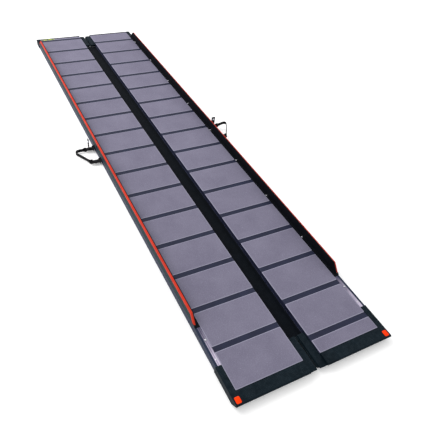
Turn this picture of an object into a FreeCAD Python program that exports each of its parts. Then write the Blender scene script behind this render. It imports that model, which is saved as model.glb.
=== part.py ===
import FreeCAD, Part
import os

import Sketcher

# A long portable dog ramp for pets: two tread panels that fold face to face about a rubber
# hinge band. Each panel is a foam sandwich with grip pads, an outer curb, a moulded shoe at
# each end and a webbing carry handle. +X runs across, +Y runs up the ramp, +Z is up.
# The origin is on the ground below the middle of the ramp.

doc = FreeCAD.newDocument("dog_ramp")
sheet = doc.addObject("Spreadsheet::Sheet", "Sizes")

SIZES = [
    # overall
    ("length", 2850), ("half_width", 329), ("tread", 30), ("rise", 43),
    # tread sandwich
    ("skin", 1.5), ("mat", 1.5), ("trough", 37),
    # grip pads along each track
    ("toe", 50), ("head", 15), ("pitch", 173), ("gap", 23), ("near_stub", 54),
    # hinge band and the grooves that hold its beads
    ("bead", 3.4), ("bead_play", 0.1), ("groove_wall", 2), ("ring_inset", 0.5), ("web", 2.4), ("channel", 2),
    ("mouth_start", 75), ("mouth_span", 128),
    # outer edge beam and the bright rail on it
    ("beam_width", 22), ("beam_wall", 2), ("rail_width", 13),
    # curb
    ("curb", 10), ("foot", 1.5), ("foot_width", 12), ("near_foot", 313), ("near_top", 353),
    ("far_foot", 80), ("far_top", 127),
    ("trim_width", 6.5), ("trim_drop", 11), ("trim_run", 14), ("trim_tail", 9), ("trim_round", 5),
    # end shoes
    ("toe_leg", 150), ("head_leg", 73), ("flange", 148), ("overhang", 2.5), ("shoe_proud", 0.5),
    ("toe_nose", 27), ("head_nose", 12), ("nose_lip", 6), ("nose_round", 4),
    ("flange_low", 7), ("flange_step", 15), ("flange_high", 21), ("flange_gap", 2.2), ("flange_inset", 4.5),
    ("band_play", 2),
    # corner markers
    ("marker_y", 6), ("marker_width", 19), ("marker_depth", 24), ("marker_high", 1.5),
    # fasteners
    ("rivet_head", 3.5), ("rivet_rise", 1.2), ("rivet_shank", 1.6), ("hole_play", 0.1),
    ("rivet_first", 257), ("rivet_pitch", 300), ("screw_y", 175),
    # handles
    ("handle_z", 12), ("handle_out", 5.5), ("bracket_plate", 2), ("bracket_margin", 2.5),
    ("bracket_tall", 16), ("ear", 3), ("ear_reach", 5), ("ear_play", 0.5), ("pin", 1.5), ("pin_play", 0.1),
    ("pin_cap", 1), ("pin_cap_rim", 1), ("strap_spacing", 113), ("strap_half", 14), ("strap", 3),
    ("hem", 3.2), ("patch", 36), ("loop_tall", 18), ("loop", 3.5), ("loop_reach", 97), ("loop_corner", 17),
    ("left_y", 33), ("right_y", 18), ("right_tilt", 14),
    ("tab", 2.5), ("tab_half", 11), ("tab_tall", 58), ("left_tab_out", 26), ("right_tab_out", 5),
    ("tab_clear", 1),
    ("snap", 5.5), ("snap_high", 2), ("snap_drop", 14),
    # plain label
    ("label_side", 7), ("label_width", 84), ("label_inset", 2), ("label_high", 0.5),
]
for row, (alias, value) in enumerate(SIZES, start=1):
    sheet.set(f"A{row}", alias)
    sheet.set(f"B{row}", str(value))
    sheet.setAlias(f"B{row}", alias)
doc.recompute()


def size(alias):
    """The number in one named cell."""
    return float(getattr(sheet, alias))


def sized(text):
    """Turns {name} in a formula into the cell of that name."""
    for alias, _ in SIZES:
        text = text.replace("{" + alias + "}", f"Sizes.{alias}")
    return text


def amount(text):
    """The number that a formula gives now."""
    return float(sheet.evalExpression(sized(text)))


def bind(item, **formulas):
    """Ties properties to the sheet. A double underscore stands for a dot."""
    for name, text in formulas.items():
        item.setExpression(name.replace("__", "."), sized(text))
    return item


NEAR = "-{length} / 2"
MAT_EDGE = "({half_width} - {beam_width})"
GROOVE = "({bead} + {bead_play})"
HINGE_X = f"({{trough}} + {{channel}} - {GROOVE} - {{groove_wall}} - {{ring_inset}})"
HINGE_Z = f"({GROOVE} + {{groove_wall}} + {{ring_inset}})"
LEFT, RIGHT = "left_", "right_"
parts = []


def keep(item, label):
    """Names a finished sub-part and lists it for writing."""
    item.Label = label
    parts.append(item)
    return item


def body(name):
    """An empty body whose y starts at the near end of the ramp."""
    made = doc.addObject("PartDesign::Body", name)
    return bind(made, Placement__Base__y=NEAR)


def outline(owner, name, role, loops, start):
    """A sketch of closed straight-sided loops whose corners are formulas."""
    sketch = owner.newObject("Sketcher::SketchObject", name)
    plane = [item for item in owner.Origin.OriginFeatures if item.Role == role][0]
    sketch.AttachmentSupport = (plane, [""])
    sketch.MapMode = "FlatFace"
    sign = "-1 * " if role == "XZ_Plane" else ""
    bind(sketch, AttachmentOffset__Base__z=f"{sign}({start})")
    for corners in loops:
        first = sketch.GeometryCount
        points = [FreeCAD.Vector(amount(x), amount(y), 0) for x, y in corners]
        for here, there in zip(points, points[1:] + points[:1]):
            sketch.addGeometry(Part.LineSegment(here, there), False)
        for index, (x, y) in enumerate(corners):
            line = first + index
            after = first + (index + 1) % len(corners)
            sketch.addConstraint(Sketcher.Constraint("Coincident", line, 2, after, 1))
            for kind, text, value in (("DistanceX", x, points[index].x), ("DistanceY", y, points[index].y)):
                number = sketch.addConstraint(Sketcher.Constraint(kind, -1, 1, line, 1, value))
                sketch.setExpression(f"Constraints[{number}]", sized(text))
    return sketch


def padded(owner, name, role, sketch, depth):
    """Pads a sketch along +X (YZ_Plane), +Y (XZ_Plane) or +Z (XY_Plane)."""
    pad = owner.newObject("PartDesign::Pad", name)
    pad.Profile = sketch
    pad.Reversed = role == "XZ_Plane"
    bind(pad, Length=depth)
    sketch.Visibility = False
    return pad


def prism(owner, name, role, loops, start, depth):
    """A straight-sided outline with depth."""
    return padded(owner, name, role, outline(owner, name + "_outline", role, loops, start), depth)


def disc(owner, name, role, across, up, radius, start, depth):
    """A round outline with depth."""
    sketch = outline(owner, name + "_outline", role, [], start)
    centre = FreeCAD.Vector(amount(across), amount(up), 0)
    sketch.addGeometry(Part.Circle(centre, FreeCAD.Vector(0, 0, 1), amount(radius)), False)
    for kind, text, value in (("DistanceX", across, centre.x), ("DistanceY", up, centre.y)):
        number = sketch.addConstraint(Sketcher.Constraint(kind, -1, 1, 0, 3, value))
        sketch.setExpression(f"Constraints[{number}]", sized(text))
    number = sketch.addConstraint(Sketcher.Constraint("Radius", 0, amount(radius)))
    sketch.setExpression(f"Constraints[{number}]", sized(radius))
    return padded(owner, name, role, sketch, depth)


def box(name, x, y, z, wide, deep, high):
    """A block: its low corner, then its size along X, Y and Z. y counts from the near end."""
    made = doc.addObject("Part::Box", name)
    bind(made, Placement__Base__x=x, Placement__Base__y=f"{NEAR} + {y}", Placement__Base__z=z)
    return bind(made, Length=wide, Width=deep, Height=high)


def rod(name, x, y, z, radius, reach):
    """A cylinder that starts at a point and runs towards +Y."""
    made = doc.addObject("Part::Cylinder", name)
    made.Placement.Rotation = FreeCAD.Rotation(FreeCAD.Vector(1, 0, 0), -90)
    bind(made, Placement__Base__x=x, Placement__Base__y=f"{NEAR} + {y}", Placement__Base__z=z)
    return bind(made, Radius=radius, Height=reach)


def joined(name, *items):
    """One solid from several that meet."""
    made = doc.addObject("Part::MultiFuse", name)
    made.Shapes = list(items)
    made.Refine = True
    return made


def cut(name, base, tool):
    """The base with the tool's space taken out of it."""
    made = doc.addObject("Part::Cut", name)
    made.Base = base
    made.Tool = tool
    return made


def group(name, items):
    """Separate solids that share one node."""
    made = doc.addObject("Part::Compound", name)
    made.Links = items
    return made


def mirrored(item, label):
    """The same sub-part on the left panel."""
    made = doc.addObject("Part::Mirroring", label)
    made.Source = item
    made.Normal = FreeCAD.Vector(1, 0, 0)
    return keep(made, label)


def both(item, name):
    """Keeps the right-hand sub-part and its mirror image."""
    keep(item, RIGHT + name)
    mirrored(item, LEFT + name)


def row(owner, feature, count, step):
    """Repeats a body's feature along +Y."""
    pattern = owner.newObject("PartDesign::LinearPattern", owner.Name + "_row")
    pattern.Originals = [feature]
    axis = [item for item in owner.Origin.OriginFeatures if item.Role == "Y_Axis"][0]
    pattern.Direction = (axis, [""])
    bind(pattern, Length=f"({count} - 1) * {step}", Occurrences=count)
    owner.Tip = pattern
    return pattern


# --- tread sandwich -----------------------------------------------------------------------

DECK_FROM = "({trough} + {channel})"
DECK_WIDE = f"({MAT_EDGE} - {{trough}} - {{channel}})"
DECK_LONG = "({length} - {toe} - {head})"
DECK_TOP = "({tread} - {mat})"

both(box("top_skin", DECK_FROM, "{toe}", f"{DECK_TOP} - {{skin}}", DECK_WIDE, DECK_LONG, "{skin}"),
     "top_skin")
both(box("foam_core", DECK_FROM, "{toe}", "{skin}", DECK_WIDE, DECK_LONG, f"{DECK_TOP} - 2 * {{skin}}"),
     "foam_core")
both(box("bottom_skin", DECK_FROM, "{toe}", "0", DECK_WIDE, DECK_LONG, "{skin}"), "bottom_skin")


# --- grip pads ----------------------------------------------------------------------------

def pad_row(name, start, count):
    """Full-length grip pads at one pitch along a track."""
    made = body(name)
    end = f"({start} + {{pitch}} - {{gap}})"
    corners = [("{trough}", start), (MAT_EDGE, start), (MAT_EDGE, end), ("{trough}", end)]
    tile = prism(made, name + "_tile", "XY_Plane", [corners], DECK_TOP, "{mat}")
    row(made, tile, count, "{pitch}")
    return made


def end_pad(name, start, end):
    """A shorter grip pad that fills the rest of a track."""
    return box(name, "{trough}", start, DECK_TOP, f"{MAT_EDGE} - {{trough}}", f"{end} - {start}", "{mat}")


HEAD_LINE = "({length} - {head})"
RIGHT_FIRST = "({toe} + {near_stub} + {gap})"
RIGHT_COUNT = f"floor(({HEAD_LINE} - {RIGHT_FIRST}) / {{pitch}})"
LEFT_COUNT = f"floor(({HEAD_LINE} - {{toe}}) / {{pitch}})"
RIGHT_LAST = f"({RIGHT_FIRST} + {RIGHT_COUNT} * {{pitch}})"
LEFT_LAST = f"({{toe}} + {LEFT_COUNT} * {{pitch}})"

keep(pad_row("right_pads", RIGHT_FIRST, RIGHT_COUNT), "right_grip_pads")
keep(end_pad("right_near", "{toe}", "({toe} + {near_stub})"), "right_near_grip_pad")
keep(end_pad("right_far", RIGHT_LAST, HEAD_LINE), "right_far_grip_pad")
mirrored(pad_row("left_pads", "{toe}", LEFT_COUNT), "left_grip_pads")
mirrored(end_pad("left_far", LEFT_LAST, HEAD_LINE), "left_far_grip_pad")

label = box("label", f"{MAT_EDGE} - {{label_side}} - {{label_width}}", f"{LEFT_LAST} + {{label_inset}}",
            "{tread}", "{label_width}", f"{HEAD_LINE} - {LEFT_LAST} - 2 * {{label_inset}}", "{label_high}")
mirrored(label, "blank_label")


# --- hinge band and edge channels ---------------------------------------------------------

BAND_FROM = "({flange} + {band_play})"
BAND_LONG = "({length} - 2 * {flange} - 2 * {band_play})"

web = box("band_web", f"-{HINGE_X}", BAND_FROM, f"{HINGE_Z} - {{web}} / 2", f"2 * {HINGE_X}", BAND_LONG,
          "{web}")
beads = [rod("band_bead", side + HINGE_X, BAND_FROM, HINGE_Z, "{bead}", BAND_LONG) for side in ("-", "")]
keep(joined("band", web, *beads), "hinge_band")

plate = box("channel_plate", "{trough}", "{toe}", "0", "{channel}", DECK_LONG, DECK_TOP)
ring = rod("channel_ring", HINGE_X, BAND_FROM, HINGE_Z, f"{GROOVE} + {{groove_wall}}", BAND_LONG)
bore = rod("channel_bore", HINGE_X, BAND_FROM, HINGE_Z, GROOVE, BAND_LONG)
# the mouth is a wedge of the ring, open towards the middle and up, where the web swings
mouth = rod("channel_mouth", HINGE_X, BAND_FROM, HINGE_Z, f"{GROOVE} + 2 * {{groove_wall}}", BAND_LONG)
bind(mouth, Angle="{mouth_span}")
flip = FreeCAD.Rotation(FreeCAD.Vector(1, 0, 0), -90)
turn = FreeCAD.Rotation(FreeCAD.Vector(0, 0, 1), -(size("mouth_start") + size("mouth_span")))
mouth.Placement.Rotation = flip.multiply(turn)
solid_channel = joined("solid_channel", plate, ring)
both(cut("hinge_channel", cut("bored_channel", solid_channel, bore), mouth), "hinge_channel")


# --- edge beam, rail and curb -------------------------------------------------------------

BEAM_LONG = "({length} - {toe_leg} - {head_leg})"
CURB_FACE = "({half_width} - {curb})"
CURB_TOP = "({tread} + {rise})"


def drills(name, low, high):
    """Clearance holes for the rivets and the end screw."""
    places = [f"({{rivet_first}} + {index} * {{rivet_pitch}})" for index in range(int(amount(RIVET_COUNT)))]
    made = []
    for place in ["{screw_y}"] + places:
        hole = doc.addObject("Part::Cylinder", name + "_drill")
        bind(hole, Placement__Base__x=RIVET_X, Placement__Base__y=f"{NEAR} + {place}")
        bind(hole, Placement__Base__z=low, Radius="{rivet_shank} + {hole_play}", Height=f"{high} - ({low})")
        made.append(hole)
    return group(name + "_drills", made)


RIVET_X = f"({MAT_EDGE} + {{rail_width}} / 2)"
RIVET_COUNT = "(floor(({length} - {far_foot} - {rivet_first}) / {rivet_pitch}) + 1)"
BEAM_TOP = DECK_TOP

beam = body("beam")
low, high = "{beam_wall}", f"({BEAM_TOP} - {{beam_wall}})"
inner, outer = f"({MAT_EDGE} + {{beam_wall}})", "({half_width} - {beam_wall})"
shell = [(MAT_EDGE, "0"), ("{half_width}", "0"), ("{half_width}", BEAM_TOP), (MAT_EDGE, BEAM_TOP)]
hollow = [(inner, low), (outer, low), (outer, high), (inner, high)]
prism(beam, "beam_section", "XZ_Plane", [shell, hollow], "{toe_leg}", BEAM_LONG)
both(cut("edge_beam", beam, drills("beam", high, BEAM_TOP)), "edge_beam")

rail = box("rail", MAT_EDGE, "{toe_leg}", BEAM_TOP, "{rail_width}", BEAM_LONG, "{mat}")
both(cut("edge_rail", rail, drills("rail", BEAM_TOP, "{tread}")), "edge_rail")
both(box("edge_filler", f"{MAT_EDGE} + {{rail_width}}", "{toe_leg}", BEAM_TOP,
         f"{{half_width}} - {MAT_EDGE} - {{rail_width}}", BEAM_LONG, "{mat}"), "edge_filler")


def on_near(height, shift):
    """A corner on the curb's near slope at a height above the tread."""
    return (f"{{near_foot}} + {shift} + ({{near_top}} - {{near_foot}}) * ({height}) / {{rise}}",
            f"{{tread}} + {height}")


def on_far(height, shift):
    """A corner on the curb's far slope at a height above the tread."""
    return (f"{{length}} - {{far_foot}} - {shift} - ({{far_top}} - {{far_foot}}) * ({height}) / {{rise}}",
            f"{{tread}} + {height}")


curb_side = [on_near("0", "0"), on_near("{rise}", "0"), on_far("{rise}", "0"), on_far("0", "0")]
trim_outer = [on_near("{trim_tail}", "0"), on_near("{rise}", "0"),
              on_far("{rise}", "0"), on_far("{trim_tail}", "0")]
trim_inner = [on_far("{trim_tail}", "{trim_run}"), on_far("({rise} - {trim_drop})", "{trim_run}"),
              on_near("({rise} - {trim_drop})", "{trim_run}"), on_near("{trim_tail}", "{trim_run}")]
foot_side = [("{near_foot}", "{tread}"), ("{length} - {far_foot}", "{tread}"),
             ("{length} - {far_foot} - {foot}", "{tread} + {foot}"),
             ("{near_foot} + {foot}", "{tread} + {foot}")]

curb = body("curb")
prism(curb, "curb_wall", "YZ_Plane", [curb_side], CURB_FACE, "{curb}")
prism(curb, "curb_foot", "YZ_Plane", [foot_side], f"{CURB_FACE} - {{foot_width}}",
      "{foot_width} + {curb} / 2")
rebate, trim = body("rebate"), body("trim")
trim_side, trim_from = [trim_outer + trim_inner], "{half_width} - {trim_width}"
prism(rebate, "rebate_side", "YZ_Plane", trim_side, trim_from, "{trim_width}")
trim_bar = prism(trim, "trim_side", "YZ_Plane", trim_side, trim_from, "{trim_width}")
doc.recompute()
rim = [FreeCAD.Vector(size("half_width"), amount(y), amount(z)) for y, z in trim_outer]
spans = list(zip(rim, rim[1:]))


def along(edge, span):
    """Whether an edge joins the two corners of a span."""
    ends = [vertex.Point for vertex in edge.Vertexes]
    return len(ends) == 2 and all(min(end.distanceToPoint(corner) for end in ends) < 0.01 for corner in span)


rounded = [f"Edge{number}" for number, edge in enumerate(trim_bar.Shape.Edges, start=1)
           if any(along(edge, span) for span in spans)]
softened = trim.newObject("PartDesign::Fillet", "trim_rounding")
softened.Base = (trim_bar, rounded)
bind(softened, Radius="{trim_round}")
trim.Tip = softened
both(trim, "curb_trim")
rebated = cut("rebated_curb", curb, rebate)
both(cut("curb_wall_drilled", rebated, drills("curb", "{tread}", "({tread} + {foot})")), "curb")


def fastener(name, seat):
    """A domed head on a short shank, seated at a height."""
    made = body(name)
    made.setExpression("Placement.Base.x", sized(RIVET_X))
    crown = f"({seat} + {{rivet_rise}})"
    section = [("0", high), ("{rivet_shank}", high), ("{rivet_shank}", seat), ("{rivet_head}", seat),
               ("{rivet_head}", f"{seat} + {{rivet_rise}} / 3"), ("{rivet_head} * 0.6", crown), ("0", crown)]
    sketch = outline(made, name + "_section", "XZ_Plane", [section], "{screw_y}")
    turned = made.newObject("PartDesign::Revolution", name + "_turned")
    turned.Profile = sketch
    turned.ReferenceAxis = (sketch, ["V_Axis"])
    turned.Angle = 360
    return made, turned


screw, _ = fastener("end_screw", "{tread}")
both(screw, "rail_screw")
rivets, first_rivet = fastener("rivets", "({tread} + {foot})")
bind(rivets, Placement__Base__y=f"{NEAR} + {{rivet_first}} - {{screw_y}}")
row(rivets, first_rivet, RIVET_COUNT, "{rivet_pitch}")
both(rivets, "curb_rivets")


# --- end shoes ----------------------------------------------------------------------------

SHOE_OUT = "({half_width} + {overhang})"
LIP = "({tread} - {nose_lip})"


def shoe_side(back, top, nose):
    """A shoe seen from the side: undercut nose, flat top, square back."""
    return [("0", LIP), ("0", f"{top} - {{nose_round}} / 2"), ("{nose_round}", top),
            (back, top), (back, "0"), (nose, "0")]


def flange_side(back, nose, low, high):
    """One layer of the shoe's inner flange, cut back along the same undercut."""
    return [(f"{nose} - {low} * {nose} / {LIP}", low), (f"{nose} - {high} * {nose} / {LIP}", high),
            (back, high), (back, low)]


def far_side(corners):
    """The same side view at the far end."""
    return [(f"{{length}} - ({y})", z) for y, z in corners]


def shoe(name, border, leg, nose, turned):
    """One end shoe: a border strip, an outer leg and a two-layer inner flange.

    The flange's upper layer is set back from the middle, so the two panels clear as they fold."""
    made = body(name)
    proud = "({tread} + {shoe_proud})"
    pieces = [
        ("border", shoe_side(border, "{tread}", nose), "{trough}",
         f"{MAT_EDGE} - {{trough}} + {{shoe_proud}}"),
        ("leg", shoe_side(leg, proud, nose), MAT_EDGE, f"{SHOE_OUT} - {MAT_EDGE}"),
        ("flange", flange_side("{flange}", nose, "{flange_low}", "{flange_step}"), "{flange_gap}",
         "{trough} - {flange_gap}"),
        ("flange_cap", flange_side("{flange}", nose, "{flange_step}", "{flange_high}"),
         "({flange_gap} + {flange_inset})", "{trough} - {flange_gap} - {flange_inset}"),
    ]
    for piece, side, start, depth in pieces:
        side = far_side(side) if turned else side
        prism(made, f"{name}_{piece}", "YZ_Plane", [side], start, depth)
    return made


both(shoe("toe_shoe", "{toe}", "{toe_leg}", "{toe_nose}", False), "toe_shoe")
both(shoe("head_shoe", "{head}", "{head_leg}", "{head_nose}", True), "head_shoe")
both(box("marker", MAT_EDGE, "{marker_y}", "{tread} + {shoe_proud}",
         "{marker_width}", "{marker_depth}", "{marker_high}"), "corner_marker")


# --- handles ------------------------------------------------------------------------------

PIVOT_X = "({half_width} + {handle_out})"
BRACKET_HALF = "({strap_half} + {ear_play} + {ear} + {bracket_margin})"


def bracket(name, place):
    """A riveted plate with two ears that carry one handle pin. place is from mid-length."""
    y = f"({{length}} / 2 + {place})"
    plate_base = box(name + "_plate", "{half_width}", f"{y} - {BRACKET_HALF}",
                     "{handle_z} - {bracket_tall} / 2", "{bracket_plate}", f"2 * {BRACKET_HALF}",
                     "{bracket_tall}")
    inside = "({strap_half} + {ear_play})"
    ears = [box(name + "_ear", "{half_width}", f"{y} + {start}", "{handle_z} - {ear_reach}",
                "{handle_out} + {ear_reach}", "{ear}", "2 * {ear_reach}")
            for start in (inside, f"(-1 * {inside} - {{ear}})")]
    hole = rod(name + "_hole", PIVOT_X, f"{y} - {BRACKET_HALF}", "{handle_z}", "{pin} + {pin_play}",
               f"2 * {BRACKET_HALF}")
    return cut(name, joined(name + "_solid", plate_base, *ears), hole)


def pin(name, place):
    """A headed pin across the two ears."""
    y = f"({{length}} / 2 + {place})"
    reach = "({strap_half} + {ear_play} + {ear})"
    shank = rod(name + "_shank", PIVOT_X, f"{y} - {reach}", "{handle_z}", "{pin}", f"2 * {reach}")
    caps = [rod(name + "_cap", PIVOT_X, f"{y} + {start}", "{handle_z}", "{pin} + {pin_cap_rim}", "{pin_cap}")
            for start in (reach, f"(-1 * {reach} - {{pin_cap}})")]
    return joined(name, shank, *caps)


def turned_piece(item, angle):
    """Places a piece drawn about the handle's pivot line: x outwards, z up, tilted up by an angle."""
    item.Placement.Rotation = FreeCAD.Rotation(FreeCAD.Vector(0, 1, 0), -size(angle) if angle else 0)
    return item


def handle_body(name, centre, angle):
    """A body whose origin is on the pivot line beside the handle's middle."""
    made = doc.addObject("PartDesign::Body", name)
    turned_piece(made, angle)
    return bind(made, Placement__Base__x=PIVOT_X, Placement__Base__y=centre, Placement__Base__z="{handle_z}")


def webbing(name, centre, angle, reach):
    """The carry loop: two flat hemmed patches at the wall, then a band standing on edge."""
    made = handle_body(name, centre, angle)
    half = "({strap_spacing} / 2)"
    for tag, sign in (("far", "1"), ("near", "-1")):
        mid = f"({sign} * {half})"
        sides = [(f"{mid} - {{strap_half}}", "-{strap} / 2"), (f"{mid} + {{strap_half}}", "-{strap} / 2"),
                 (f"{mid} + {{strap_half}}", "{strap} / 2"), (f"{mid} - {{strap_half}}", "{strap} / 2")]
        prism(made, f"{name}_{tag}_patch", "YZ_Plane", [sides], "0", "{patch}")
        disc(made, f"{name}_{tag}_hem", "XZ_Plane", "0", "0", "{hem}", f"{mid} - {{strap_half}}",
             "2 * {strap_half}")
    # the band's line in plan: straight out, round the far corner, then slanting back
    inset = "({loop} / 2)"
    line = [("{patch} * 0.8", half), (f"({reach}) - {inset} - {{loop_corner}}", half),
            (f"({reach}) - {inset}", f"{half} - {{loop_corner}}"),
            ("{patch} * 1.3", f"-1 * {half} + {{strap_half}} / 2"), ("{patch} * 0.8", f"-1 * {half}")]
    path = made.newObject("Sketcher::SketchObject", name + "_line")
    level = [item for item in made.Origin.OriginFeatures if item.Role == "XY_Plane"][0]
    path.AttachmentSupport = (level, [""])
    path.MapMode = "FlatFace"
    points = [FreeCAD.Vector(amount(x), amount(y), 0) for x, y in line]
    for index, (here, there) in enumerate(zip(points, points[1:])):
        path.addGeometry(Part.LineSegment(here, there), False)
        if index:
            path.addConstraint(Sketcher.Constraint("Coincident", index - 1, 2, index, 1))
    for index, (x, y) in enumerate(line):
        where = (index, 1) if index < len(line) - 1 else (index - 1, 2)
        for kind, text, value in (("DistanceX", x, points[index].x), ("DistanceY", y, points[index].y)):
            number = path.addConstraint(Sketcher.Constraint(kind, -1, 1, *where, value))
            path.setExpression(f"Constraints[{number}]", sized(text))
    tall = "({loop_tall} / 2)"
    profile = outline(made, name + "_profile", "YZ_Plane",
                      [[(f"{half} - {inset}", f"-1 * {tall}"), (f"{half} + {inset}", f"-1 * {tall}"),
                        (f"{half} + {inset}", tall), (f"{half} - {inset}", tall)]], "{patch} * 0.8")
    band_piece = made.newObject("PartDesign::AdditivePipe", name + "_band")
    band_piece.Profile = profile
    band_piece.Spine = (path, [f"Edge{index + 1}" for index in range(len(line) - 1)])
    band_piece.Transition = "Round corner"
    made.Tip = band_piece
    doc.recompute()
    # the hem's bore takes the pin
    bores = []
    for sign in ("1", "-1"):
        tool = doc.addObject("Part::Cylinder", name + "_bore")
        tool.Placement.Rotation = FreeCAD.Rotation(FreeCAD.Vector(1, 0, 0), -90)
        bind(tool, Placement__Base__x=PIVOT_X, Placement__Base__z="{handle_z}",
             Placement__Base__y=f"{centre} + {sign} * {half} - {{strap_half}}",
             Radius="{pin} + {pin_play}", Height="2 * {strap_half}")
        bores.append(tool)
    return cut(name + "_bored", made, group(name + "_bores", bores))


def left_closure(centre):
    """The upright tab across the far patch, facing outwards, and its snap."""
    flap, button = handle_body("left_flap", centre, None), handle_body("left_button", centre, None)
    middle, foot_z, top_z = "({strap_spacing} / 2)", "{strap} / 2", "({strap} / 2 + {tab_tall})"
    sides = [(f"{middle} - {{tab_half}}", foot_z), (f"{middle} + {{tab_half}}", foot_z),
             (f"{middle} + {{tab_half}}", top_z), (f"{middle} - {{tab_half}}", top_z)]
    prism(flap, "left_flap_side", "YZ_Plane", [sides], "{left_tab_out} - {tab}", "{tab}")
    disc(button, "left_stud", "YZ_Plane", middle, f"{top_z} - {{snap_drop}}", "{snap}", "{left_tab_out}",
         "{snap_high}")
    return flap, button


def right_closure(centre):
    """The upright tab on the far patch, just past the band, facing the near end, and its snap."""
    flap, button = handle_body("right_flap", centre, None), handle_body("right_button", centre, None)
    near, far = "{right_tab_out}", "({right_tab_out} + 2 * {tab_half})"
    slope, lift = "tan({right_tilt} * 1 deg)", "{strap} / 2 / cos({right_tilt} * 1 deg)"
    top_z = f"({far} * {slope} + {lift} + {{tab_tall}})"
    sides = [(near, f"{near} * {slope} + {lift}"), (far, f"{far} * {slope} + {lift}"),
             (far, top_z), (near, top_z)]
    face = "({strap_spacing} / 2 + {loop} / 2 + {tab_clear})"
    prism(flap, "right_flap_side", "XZ_Plane", [sides], face, "{tab}")
    disc(button, "right_stud", "XZ_Plane", "{right_tab_out} + {tab_half}", f"{top_z} - {{snap_drop}}",
         "{snap}", f"({face} - {{snap_high}})", "{snap_high}")
    return flap, button


LEFT_REACH = "({loop_reach} * cos({right_tilt} * 1 deg) + {loop_tall} / 2 * sin({right_tilt} * 1 deg))"
for side, finish, centre, angle, reach, closure in (
    (RIGHT, keep, "{right_y}", "right_tilt", "{loop_reach}", right_closure),
    (LEFT, mirrored, "{left_y}", None, LEFT_REACH, left_closure),
):
    spots = [f"({centre} + {sign} * {{strap_spacing}} / 2)" for sign in ("1", "-1")]
    names = [f"{side}{where}" for where in ("far", "near")]
    finish(group(side + "brackets", [bracket(name + "_bracket", spot) for name, spot in zip(names, spots)]),
           side + "handle_brackets")
    finish(group(side + "pins", [pin(name + "_pin", spot) for name, spot in zip(names, spots)]),
           side + "handle_pins")
    finish(webbing(side + "webbing", centre, angle, reach), side + "handle_webbing")
    flap, button = closure(centre)
    finish(flap, side + "closure_tab")
    finish(button, side + "snap_button")


# --- checks and files ---------------------------------------------------------------------

doc.recompute()
for item in doc.Objects:
    if "Invalid" in item.State or "Error" in item.State:
        raise RuntimeError(f"{item.Label} ({item.Name}) did not compute: {item.State}")
for item in parts:
    if item.Shape.isNull() or not item.Shape.isValid() or not item.Shape.Solids:
        raise RuntimeError(f"{item.Label} has no sound shape")
os.makedirs("parts", exist_ok=True)
for item in parts:
    item.Shape.exportStep(f"parts/{item.Label}.step")
    print(f"{item.Label}: {len(item.Shape.Solids)} solids, {item.Shape.Volume / 1000:.1f} cm3")
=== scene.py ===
# %% [markdown]
# # A folding dog ramp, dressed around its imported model
# The ramp is two long foam panels that fold together about a rubber band in the middle. The packed
# model already holds every rigid piece at its true size. This lesson adds what a plain solid lacks:
# soft edges on the grip pads, ribs, domed rivets, sewn webbing and a worked finish on each surface.

import math

import bmesh
import bpy
from mathutils import Euler, Matrix, Vector


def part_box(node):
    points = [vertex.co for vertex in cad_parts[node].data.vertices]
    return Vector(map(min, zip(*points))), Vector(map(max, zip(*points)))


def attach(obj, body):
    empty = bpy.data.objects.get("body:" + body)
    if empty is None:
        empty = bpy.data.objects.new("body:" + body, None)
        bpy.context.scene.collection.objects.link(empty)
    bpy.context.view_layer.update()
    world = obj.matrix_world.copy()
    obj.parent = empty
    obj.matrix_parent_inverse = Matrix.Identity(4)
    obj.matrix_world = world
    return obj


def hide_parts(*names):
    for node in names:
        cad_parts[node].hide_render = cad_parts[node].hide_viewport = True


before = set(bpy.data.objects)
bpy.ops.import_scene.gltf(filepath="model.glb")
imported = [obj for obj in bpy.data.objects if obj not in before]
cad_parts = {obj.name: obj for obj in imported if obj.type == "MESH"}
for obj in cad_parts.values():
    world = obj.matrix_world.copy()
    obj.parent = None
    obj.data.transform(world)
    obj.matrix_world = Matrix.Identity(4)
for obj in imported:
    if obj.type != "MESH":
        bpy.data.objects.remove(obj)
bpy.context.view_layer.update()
MM = 0.001

# %% [markdown]
# ## Places from the model
# Each place is read from a node's box, so a piece follows its panel if the model is packed again.
# Only the right-hand panel is measured: the left one is its mirror image apart from the pad rows.

# %% Measure the panels
deck_low, deck_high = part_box("right_top_skin")
pads_low, pads_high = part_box("right_grip_pads")
rail_low, rail_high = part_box("right_edge_rail")
shoe_low, shoe_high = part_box("right_toe_shoe")
head_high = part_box("right_head_shoe")[1]
curb_low, curb_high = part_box("right_curb")
band_low, band_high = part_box("hinge_band")
TREAD = pads_high.z
SIDES = {"right": 1, "left": -1}


def centre(node):
    """The middle of a node's box, measured out to the right whichever side it is on."""
    low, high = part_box(node)
    return Vector(((abs(low.x) + abs(high.x)) / 2, (low.y + high.y) / 2, (low.z + high.z) / 2))


print(f"tread at {TREAD / MM:.1f} mm, pads {pads_low.x / MM:.0f} to {pads_high.x / MM:.0f} mm from the middle")

# %% [markdown]
# ## Camera and studio
# The camera looks down the ramp from its near left corner, turned a few degrees about its own line
# of sight. A white floor under an even white sky gives soft, almost shadowless light. The floor glows
# a little itself, to thin the shadow, and one large lamp adds a gentle direction so that edges read.

# %% Set the camera
camera_data = bpy.data.cameras.new("camera")
camera_data.sensor_width = 36
camera_data.lens = 40.651
camera_data.clip_end = 60
camera = bpy.data.objects.new("camera", camera_data)
camera.location = (-0.8556, -1.9528, 1.4847)
camera.rotation_euler = Euler([math.radians(turn) for turn in (47.8, -5.909, -27.037)])
bpy.context.scene.collection.objects.link(camera)
bpy.context.scene.camera = camera
print("camera at", tuple(camera.location), "lens", camera_data.lens)

# %% Make the shader helpers
def setting(tree, socket, value):
    """Links a socket to another one, or sets its plain value."""
    if isinstance(value, bpy.types.NodeSocket):
        tree.links.new(value, socket)
    else:
        socket.default_value = value


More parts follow.
